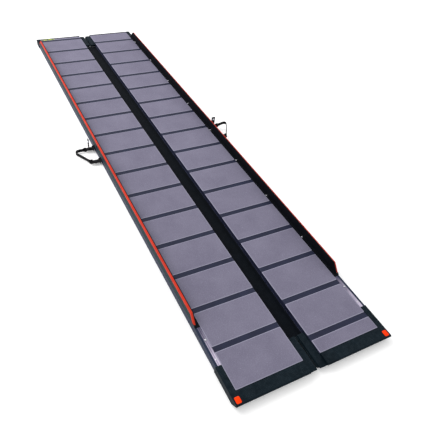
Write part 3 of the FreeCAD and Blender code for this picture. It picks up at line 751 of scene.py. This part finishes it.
# %% Build the rib tree
def make_rib_tree():
    """A row of low ribs, Long along their own length, turned about the vertical."""
    takes = [("Long", "Float", 0.1), ("Wide", "Float", 0.0024), ("High", "Float", 0.0004),
             ("Turn", "Float", 0.0)] + ROW_TAKES
    tree, takes, gives = new_group("rib_row", GEOMETRY, takes, [("Geometry", "Geometry")])
    bar = add(tree, "GeometryNodeMeshCylinder", [("Vertices", 8), ("Radius", 0.5), ("Depth", 1.0)])
    laid = add(tree, "GeometryNodeTransform", [("Geometry", bar.outputs["Mesh"]),
                                               ("Rotation", (0.0, math.pi / 2, 0.0))])
    tall = maths(tree, "MULTIPLY", takes["High"], 2.0)
    flat = scaled(tree, laid.outputs[0], takes["Long"], takes["Wide"], tall)
    aim = add(tree, "ShaderNodeCombineXYZ", [("Z", takes["Turn"])])
    turned = add(tree, "GeometryNodeTransform", [("Geometry", flat), ("Rotation", aim.outputs[0])])
    row_of(tree, takes, gives, turned.outputs[0])
    return tree


RIB_TREE = make_rib_tree()
print("rib tree has", len(RIB_TREE.nodes), "nodes")

# %% Rib the shoes
RIB_WIDE, RIB_HIGH, RIB_PITCH = 2.6 * MM, 0.4 * MM, 4.6 * MM


def ribs_on(x_from, x_to, y_from, y_to, top):
    """Ribs across a patch of a shoe's top."""
    count = int((y_to - y_from - RIB_WIDE) / RIB_PITCH) + 1
    spare = (y_to - y_from - RIB_WIDE - (count - 1) * RIB_PITCH) / 2
    return grown(RIB_TREE, Long=x_to - x_from, Wide=RIB_WIDE, High=RIB_HIGH, Turn=0.0, Count=count,
                 Start=((x_from + x_to) / 2, y_from + spare + RIB_WIDE / 2, top), Step=(0.0, RIB_PITCH, 0.0),
                 Finish=FINISHES["shoe_plastic"])


NOSE, EDGE = 6 * MM, 3 * MM
marker_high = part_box("right_corner_marker")[1]
flange_top, flange_in = 21 * MM, 8 * MM
leg_from = rail_low.x + EDGE
for name, side in SIDES.items():
    toe = [ribs_on(pads_low.x + EDGE, rail_low.x - EDGE, shoe_low.y + NOSE, deck_low.y - EDGE, TREAD),
           ribs_on(leg_from, shoe_high.x - EDGE, marker_high.y + EDGE, shoe_high.y - EDGE, shoe_high.z),
           ribs_on(flange_in, pads_low.x - EDGE, shoe_low.y + 4 * NOSE, band_low.y - EDGE, flange_top)]
    head = [ribs_on(pads_low.x + EDGE, rail_low.x - EDGE, deck_high.y + EDGE, head_high.y - NOSE, TREAD),
            ribs_on(leg_from, shoe_high.x - EDGE, rail_high.y + EDGE, head_high.y - NOSE, head_high.z),
            ribs_on(flange_in, pads_low.x - EDGE, band_high.y + EDGE, head_high.y - 4 * NOSE, flange_top)]
    for end, meshes in (("toe", toe), ("head", head)):
        made = piece(f"{name}_{end}_ribs", [across(mesh, side) for mesh in meshes], f"{name}_panel",
                     smooth=False)
        print(made.name, "faces", len(made.data.polygons))

# %% Rib the hinge band along its length
WEB_HALF_THICK, BAND_RIB_PITCH, BAND_RIBS = 1.2 * MM, 4 * MM, 11
band_top = (band_low.z + band_high.z) / 2 + WEB_HALF_THICK
band_ribs = grown(RIB_TREE, Long=band_high.y - band_low.y - 8 * MM, Wide=1.8 * MM, High=0.35 * MM,
                  Turn=math.pi / 2, Count=BAND_RIBS, Start=(-BAND_RIB_PITCH * (BAND_RIBS - 1) / 2, 0.0, band_top),
                  Step=(BAND_RIB_PITCH, 0.0, 0.0), Finish=FINISHES["rubber_band"])
piece("band_ribs", [band_ribs], "hinge_band", smooth=False)
print("band ribs:", BAND_RIBS)

# %% [markdown]
# ## Rivets and screws
# The curb is held by domed rivets at one step, each on a thin washer. A dome is a squashed sphere
# whose lower half is inside the curb's foot. The end screws have a cross recess, so they are turned
# from a profile instead, and the recess is pressed in by moving points.

# %% Build the rivet tree and set the rivets
def make_rivet_tree():
    """A row of domed heads of a Radius and a Rise, each with a washer."""
    tree, takes, gives = new_group("rivet_row", GEOMETRY,
                                   [("Radius", "Float", 0.0035), ("Rise", "Float", 0.0012)] + ROW_TAKES,
                                   [("Geometry", "Geometry")])
    ball = add(tree, "GeometryNodeMeshUVSphere", [("Segments", 20), ("Rings", 10), ("Radius", 1.0)])
    dome = scaled(tree, ball.outputs["Mesh"], takes["Radius"], takes["Radius"], takes["Rise"])
    washer = add(tree, "GeometryNodeMeshCylinder", [("Vertices", 20), ("Depth", 0.6 * MM),
                                                    ("Radius", maths(tree, "MULTIPLY", takes["Radius"], 1.3))])
    whole = add(tree, "GeometryNodeJoinGeometry")
    for part in (dome, washer.outputs["Mesh"]):
        tree.links.new(part, whole.inputs[0])
    row_of(tree, takes, gives, whole.outputs[0])
    return tree


RIVET_TREE = make_rivet_tree()
rivet_low, rivet_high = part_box("right_curb_rivets")
RIVET_RADIUS = (rivet_high.x - rivet_low.x) / 2
RIVET_PITCH, RIVET_RISE = 0.300, 1.2 * MM
rivet_count = round((rivet_high.y - rivet_low.y - 2 * RIVET_RADIUS) / RIVET_PITCH) + 1
foot_top = rivet_high.z - RIVET_RISE
for name, side in SIDES.items():
    heads = grown(RIVET_TREE, Radius=RIVET_RADIUS, Rise=RIVET_RISE, Count=rivet_count,
                  Start=(centre("right_curb_rivets").x, rivet_low.y + RIVET_RADIUS, foot_top),
                  Step=(0.0, RIVET_PITCH, 0.0), Finish=FINISHES["steel"])
    piece(f"{name}_domed_rivets", [across(heads, side)], f"{name}_panel", [f"{name}_curb_rivets"])
print("rivets on each side:", rivet_count)

# %% Turn a profile and press a cross into the screw
def settled(shape, name, finish):
    """Turns a closed shape's faces outwards and gives it as a mesh with its finish."""
    bmesh.ops.recalc_face_normals(shape, faces=shape.faces)
    mesh = bpy.data.meshes.new(name)
    shape.to_mesh(mesh)
    shape.free()
    mesh.materials.append(finish)
    return mesh


def lathe(name, profile, segments, finish):
    """A closed round solid from (radius, height) points that start and end on the axis."""
    shape = bmesh.new()
    rings = []
    for radius, height in profile:
        if radius == 0:
            rings.append([shape.verts.new((0, 0, height))])
            continue
        turns = [2 * math.pi * step / segments for step in range(segments)]
        rings.append([shape.verts.new((radius * math.cos(turn), radius * math.sin(turn), height))
                      for turn in turns])
    for lower, upper in zip(rings, rings[1:]):
        for step in range(segments):
            after = (step + 1) % segments
            corners = [lower[step % len(lower)], lower[after % len(lower)], upper[after % len(upper)],
                       upper[step % len(upper)]]
            shape.faces.new(list(dict.fromkeys(corners)))
    return settled(shape, name, finish)


SLOT_HALF, SLOT_REACH, SLOT_DEPTH = 0.55 * MM, 2.2 * MM, 0.48 * MM
screw_place = centre("right_rail_screw")
screw_place.z = TREAD
SCREW_RISE = 1.2 * MM
DOME = [(share, math.sqrt(1 - share * share)) for share in (0.97, 0.9, 0.8, 0.7, 0.6, 0.5, 0.4, 0.3, 0.2, 0.1)]
for name, side in SIDES.items():
    profile = [(0, -0.5 * MM), (RIVET_RADIUS, -0.5 * MM), (RIVET_RADIUS, 0.1 * MM)]
    profile += [(share * RIVET_RADIUS, rise * SCREW_RISE) for share, rise in DOME] + [(0, SCREW_RISE)]
    screw = lathe("screw", profile, 48, FINISHES["steel"])
    for point in screw.vertices:
        x, y = abs(point.co.x), abs(point.co.y)
        if point.co.z > 0.3 * MM and min(x, y) < SLOT_HALF and max(x, y) < SLOT_REACH:
            point.co.z -= SLOT_DEPTH
    screw.transform(Matrix.Translation(screw_place))
    piece(f"{name}_cross_screw", [across(screw, side)], f"{name}_panel", [f"{name}_rail_screw"],
          smooth=False)
print("screws set at y =", round(screw_place.y, 4))

# %% [markdown]
# ## Webbing handles
# Each handle is one length of webbing. It is folded back round a pin and sewn flat at both ends, and
# in between it stands on edge and loops round. A cloth simulation would let it fall, but the real
# strap is stiff and sewn double, so it is swept instead: a line of stations gives the middle, the
# way that the strap's width points, its width and its thickness, and a smooth curve runs through.

# %% Make a strap from stations
SECTION = 14


def smooth_line(stations, steps):
    """Catmull-Rom through rows of numbers, with a given number of steps in each span."""
    rows = [stations[0]] + list(stations) + [stations[-1]]
    line = []
    for before, start, end, after in zip(rows, rows[1:], rows[2:], rows[3:]):
        for step in range(steps):
            t = step / steps
            line.append([0.5 * (2 * b + (c - a) * t + (2 * a - 5 * b + 4 * c - d) * t * t
                                + (3 * b - a - 3 * c + d) * t ** 3)
                         for a, b, c, d in zip(before, start, end, after)])
    return line + [list(stations[-1])]


def strap_frames(line):
    """Middle, width direction, face direction, half width and half thickness along a strap."""
    frames = []
    for index, (u, y, h, twist, wide, thick) in enumerate(line):
        ahead = Vector(line[min(index + 1, len(line) - 1)][:3]) - Vector(line[max(index - 1, 0)][:3])
        ahead.normalize()
        side = Vector((0, math.cos(math.radians(twist)), math.sin(math.radians(twist))))
        side = (side - ahead * side.dot(ahead)).normalized()
        frames.append((Vector((u, y, h)), side, ahead.cross(side), wide / 2, thick / 2))
    return frames


def strap_mesh(name, frames, finish):
    """A strap with rounded selvedges, closed ends, and a UV map in metres."""
    shape = bmesh.new()
    strap_uv = shape.loops.layers.uv.new("strap")
    rings, travelled, marks = [], 0.0, []
    for index, (middle, side, face, half_wide, half_thick) in enumerate(frames):
        travelled += (middle - frames[max(index - 1, 0)][0]).length
        marks.append(travelled)
        ring = []
        for step in range(SECTION):
            turn = 2 * math.pi * step / SECTION
            wide = math.copysign(abs(math.cos(turn)) ** 0.35, math.cos(turn))
            deep = math.copysign(abs(math.sin(turn)) ** 0.6, math.sin(turn))
            ring.append((shape.verts.new(middle + side * wide * half_wide + face * deep * half_thick),
                         wide * half_wide))
        rings.append(ring)
    for index, (here, there) in enumerate(zip(rings, rings[1:])):
        for step in range(SECTION):
            after = (step + 1) % SECTION
            corners = [(here[step], marks[index]), (here[after], marks[index]),
                       (there[after], marks[index + 1]), (there[step], marks[index + 1])]
            made = shape.faces.new([corner[0][0] for corner in corners])
            for loop, ((_, offset), mark) in zip(made.loops, corners):
                loop[strap_uv].uv = (offset, mark)
    for ring in (rings[0], rings[-1]):
        shape.faces.new([point for point, _ in ring])
    return settled(shape, name, finish)


print("strap helpers ready")

# %% Build the stitch tree
THREAD_THICK = 0.8 * MM


def make_stitch_tree():
    """Short rounded stitches along the lines of a mesh."""
    takes = [("Geometry", "Geometry", None), ("Length", "Float", 0.0026), ("Gap", "Float", 0.0034),
             ("Finish", "Material", None)]
    tree, takes, gives = new_group("stitch_run", GEOMETRY, takes, [("Geometry", "Geometry")])
    run = add(tree, "GeometryNodeMeshToCurve", [("Mesh", takes["Geometry"])])
    spots = add(tree, "GeometryNodeResampleCurve", [("Curve", run.outputs[0]), ("Length", takes["Gap"])],
                mode="LENGTH")
    tangent = add(tree, "GeometryNodeInputTangent")
    aim = add(tree, "FunctionNodeAlignRotationToVector", [("Vector", tangent.outputs[0])], axis="X")
    bead = add(tree, "GeometryNodeMeshUVSphere", [("Segments", 6), ("Rings", 4), ("Radius", 0.5)])
    thin = scaled(tree, bead.outputs["Mesh"], takes["Length"], THREAD_THICK, THREAD_THICK)
    copies = add(tree, "GeometryNodeInstanceOnPoints", [("Points", spots.outputs[0]), ("Instance", thin),
                                                        ("Rotation", aim.outputs[0])])
    painted(tree, takes, gives, copies)
    return tree


STITCH_TREE = make_stitch_tree()


def stitched(lines):
    """Stitches along some lines of points."""
    points, edges = [], []
    for line in lines:
        edges += [(len(points) + step, len(points) + step + 1) for step in range(len(line) - 1)]
        points += line
    route = bpy.data.meshes.new("stitch_route")
    route.from_pydata(points, edges, [])
    return grown(STITCH_TREE, route, Length=2.4 * MM, Gap=3.2 * MM, Finish=THREAD)


print("stitch tree has", len(STITCH_TREE.nodes), "nodes")

# %% Lay out the handle's strap
PIN_HALF_SPACING = 56.5
LOOP_REACH, HALF_LOOP, RIGHT_TILT = 97, 9, math.radians(14)
FLAT, ON_EDGE = 0, 90
PATCH_WIDE, LOOP_WIDE = 28, 18
ONE_LAYER, SEWN_DOUBLE = 1.45, 3.4
HEM = 2.35


def hem_round(y, outward):
    """Stations round the pin, from under it to above it, or back down again."""
    turns = [math.radians(turn) for turn in (-90, -130, -180, -230, -270)]
    turns = turns if outward else turns[::-1]
    return [(HEM * math.cos(turn), y, HEM * math.sin(turn), FLAT, PATCH_WIDE, ONE_LAYER) for turn in turns]


def flat_patch(y, *places):
    """Flat stations of one layer, given by how far out and how high they are."""
    return [(u, y, h, FLAT, PATCH_WIDE, ONE_LAYER) for u, h in places]


def handle_stations(reach):
    """The strap in millimetres: out from the pin, along, and up, then twist, width and thickness."""
    near, far = -PIN_HALF_SPACING, PIN_HALF_SPACING
    under, over = -0.75, 0.78
    corner = reach - 1.75
    far_end = flat_patch(far, (30, under), (10, under))
    far_top = flat_patch(far, (10, over), (33, over))
    far_top += [(41, far, 0.5, 25, 25, 2.4), (50, far, 0.2, 72, 20, 3.0)]
    bend = [(58, 0), (corner - 19, 0.2), (corner - 7, 3.5), (corner - 0.8, 11), (corner - 0.6, 18),
            (corner - 6, 31), (corner - 26, 68), (corner - 36, 86)]
    loop = [(u, far - back, 0, ON_EDGE, LOOP_WIDE, SEWN_DOUBLE) for u, back in bend]
    near_top = [(50, near + 9.5, 0.2, 72, 20, 3.0), (41, near + 3, 0.5, 25, 25, 2.4)]
    near_top += flat_patch(near, (33, over), (10, over))
    near_end = flat_patch(near, (10, under), (30, under))
    rows = far_end + hem_round(far, True) + far_top + loop + near_top + hem_round(near, False) + near_end
    return [[u * MM, y * MM, h * MM, twist, wide * MM, thick * MM] for u, y, h, twist, wide, thick in rows]


print("stations in one handle:", len(handle_stations(LOOP_REACH)))

# %% Sew and place both handles
STEPS = 6


def box_stitch(y, top, start, end):
    """A sewn rectangle with a cross in it, on a patch's top."""
    half = (PATCH_WIDE / 2 - 3.5) * MM
    corners = ((start, -1), (end, -1), (end, 1), (start, 1))
    a, b, c, d = ((u * MM, y * MM + side * half, top * MM) for u, side in corners)
    return [[a, b, c, d, a], [a, c], [b, d]]


def seams(frames, first, last, share):
    """A line of stitches near each edge of a strap, on both of its faces."""
    return [[tuple(middle + side * half_wide * edge + face * half_thick * face_side * 0.98)
             for middle, side, face, half_wide, half_thick in frames[first:last]]
            for edge in (-share, share) for face_side in (-1, 1)]


for name, side in SIDES.items():
    tilt = RIGHT_TILT if name == "right" else 0.0
    drop = RIGHT_TILT - tilt
    reach = LOOP_REACH * math.cos(drop) + HALF_LOOP * math.sin(drop)
    line = smooth_line(handle_stations(reach), STEPS)
    frames = strap_frames(line)
    strap = strap_mesh("strap", frames, FINISHES["webbing"])
    upright = [index for index, row in enumerate(line) if row[3] > 85]
    sewn = stitched(seams(frames, upright[0], upright[-1] + 1, 0.62)
                    + box_stitch(PIN_HALF_SPACING, 1.5, 6, 30) + box_stitch(-PIN_HALF_SPACING, 1.5, 6, 30))
    for mesh in (strap, sewn):
        mesh.transform(Matrix.Translation(centre(f"{name}_handle_pins")) @ Matrix.Rotation(-tilt, 4, "Y"))
    body = f"{name}_handle"
    piece(f"{name}_strap", [across(strap, side)], body, [f"{name}_handle_webbing"])
    piece(f"{name}_strap_stitches", [across(sewn, side)], body)
    print(name, "strap", round(sum((b[0] - a[0]).length for a, b in zip(frames, frames[1:])), 3), "m")

# %% [markdown]
# ## Closure tabs and snaps
# A short tab of the same webbing is sewn to the far end of each handle and carries a snap, which
# holds the two handles together when the ramp is folded. It lies flat where it is sewn, then turns
# up. The snap's cap is turned from a profile, with a rolled rim and a shallow dish.

# %% Lay out the tabs
TAB_WIDE, TAB_THICK = 22, 2.4
TAB_TOP = 59.4
CAP = [(0, -0.4), (5.4, -0.4), (5.5, 0.1), (5.45, 0.5), (5.1, 0.95), (4.5, 1.15), (3.9, 0.95), (3.5, 1.0),
       (2.8, 1.5), (1.8, 1.85), (0.9, 1.97), (0, 2.0)]
POST = [(0, -0.3), (3.6, -0.3), (3.7, 0.2), (3.2, 0.7), (1.6, 0.8), (1.2, 0.4), (0, 0.35)]


def in_metres(profile):
    """A turned profile, from millimetres."""
    return [(radius * MM, height * MM) for radius, height in profile]


def left_tab():
    """Sewn flat on the patch, then upright across it, facing outwards."""
    rise = [(11, 2.7), (17, 2.7), (21.5, 3.2), (24.2, 6.5), (24.75, 12), (24.9, 22), (25.1, 34), (25.0, 46),
            (24.8, 54), (24.7, TAB_TOP)]
    return [[u * MM, PIN_HALF_SPACING * MM, h * MM, FLAT, TAB_WIDE * MM, TAB_THICK * MM] for u, h in rise]


def snap_at(spot, behind, axis):
    """A cap on the tab's front and a post behind it, both turned to face outwards."""
    turned = []
    front, back = (CAP, 32, spot, math.pi / 2), (POST, 24, spot + behind, -math.pi / 2)
    for profile, segments, place, turn in (front, back):
        turned.append(lathe("snap", in_metres(profile), segments, FINISHES["snap"]))
        turned[-1].transform(Matrix.Translation(place) @ Matrix.Rotation(turn, 4, axis))
    return turned


def sew_tab(name, frames, origin, snap):
    """The three pieces of a tab: its webbing, its stitches and its snap."""
    tab = strap_mesh("tab", frames, FINISHES["webbing"])
    sewn = stitched(seams(frames, 2, len(frames) - 4, 0.78))
    for mesh in (tab, sewn):
        mesh.transform(Matrix.Translation(origin))
    side, body = SIDES[name], f"{name}_handle"
    piece(f"{name}_tab", [across(tab, side)], body, [f"{name}_closure_tab"])
    piece(f"{name}_tab_stitches", [across(sewn, side)], body)
    piece(f"{name}_snap", [across(mesh, side) for mesh in snap], body, [f"{name}_snap_button"])


# %% Sew the left tab and set its snap
spot = centre("left_snap_button")
spot.x = abs(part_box("left_snap_button")[1].x)
sew_tab("left", strap_frames(smooth_line(left_tab(), STEPS)), centre("left_handle_pins"),
        snap_at(spot, Vector((-TAB_THICK * MM, 0, 0)), "Y"))
print("left snap at", [round(value, 4) for value in spot])

# %% Sew the right tab and set its snap
def right_tab():
    """Frames that lie flat on the tilted patch, then stand upright and face the near end."""
    low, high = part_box("right_closure_tab")
    pivot = centre("right_handle_pins")
    middle_u = centre("right_closure_tab").x - pivot.x
    sewn_height = pivot.z + middle_u * math.tan(RIGHT_TILT) + 2.75 * MM / math.cos(RIGHT_TILT)
    plane = (low.y + high.y) / 2
    rise = [(-16, 0), (-9, 0), (-3.6, 0.4), (-0.6, 3.4), (0, 8), (0.1, 20), (-0.1, 36)]
    line = smooth_line([[plane + y * MM, up * MM] for y, up in rise] + [[plane, high.z - sewn_height]], STEPS)
    frames = []
    for index, (y, up) in enumerate(line):
        before, after = line[max(index - 1, 0)], line[min(index + 1, len(line) - 1)]
        ahead = Vector((0, after[0] - before[0], after[1] - before[1])).normalized()
        lean = RIGHT_TILT * (1 - min(1.0, up / (6 * MM)))
        side = Vector((math.cos(lean), 0, math.sin(lean)))
        side = (side - ahead * side.dot(ahead)).normalized()
        frames.append((Vector((pivot.x + middle_u, y, sewn_height + up)), side, ahead.cross(side),
                       TAB_WIDE * MM / 2, TAB_THICK * MM / 2))
    return frames


spot = centre("right_snap_button")
spot.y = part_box("right_snap_button")[1].y
sew_tab("right", right_tab(), Vector(), snap_at(spot, Vector((0, TAB_THICK * MM, 0)), "X"))
print("right snap at", [round(value, 4) for value in spot])
